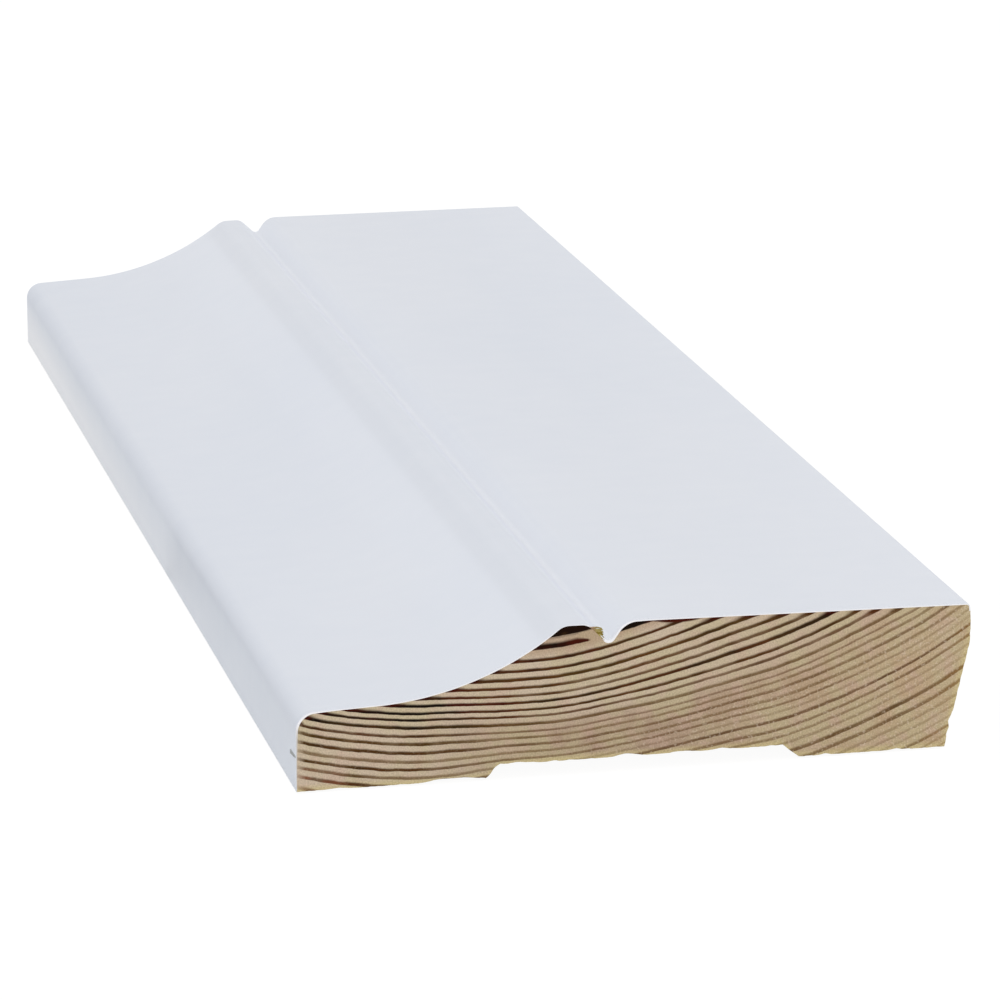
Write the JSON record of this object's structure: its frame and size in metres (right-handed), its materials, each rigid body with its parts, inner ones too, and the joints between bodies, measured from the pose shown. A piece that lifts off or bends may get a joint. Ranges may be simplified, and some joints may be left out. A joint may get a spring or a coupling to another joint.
{
  "type": "skirting board length",
  "caption": "Length of pine skirting board with a shelf, ogee cove, bead and quirk along its face, a leaning floor edge and a relieved back.",
  "frame": {"origin": "bottom centre of the board as it lies on its back", "axes": "+Y along the length, +Z out of the back towards the face, +X across the width towards the floor edge"},
  "size_m": [0.094, 0.5, 0.0205],
  "materials": {
    "primed_paint": "white water-based paint, satin, on the face and thin edge",
    "bare_pine": "bare pine, planed on the back and floor edge, sawn across the ends"
  },
  "bodies": {
    "root": {"skirting_board": "primed_paint"}
  },
  "joints": []
}
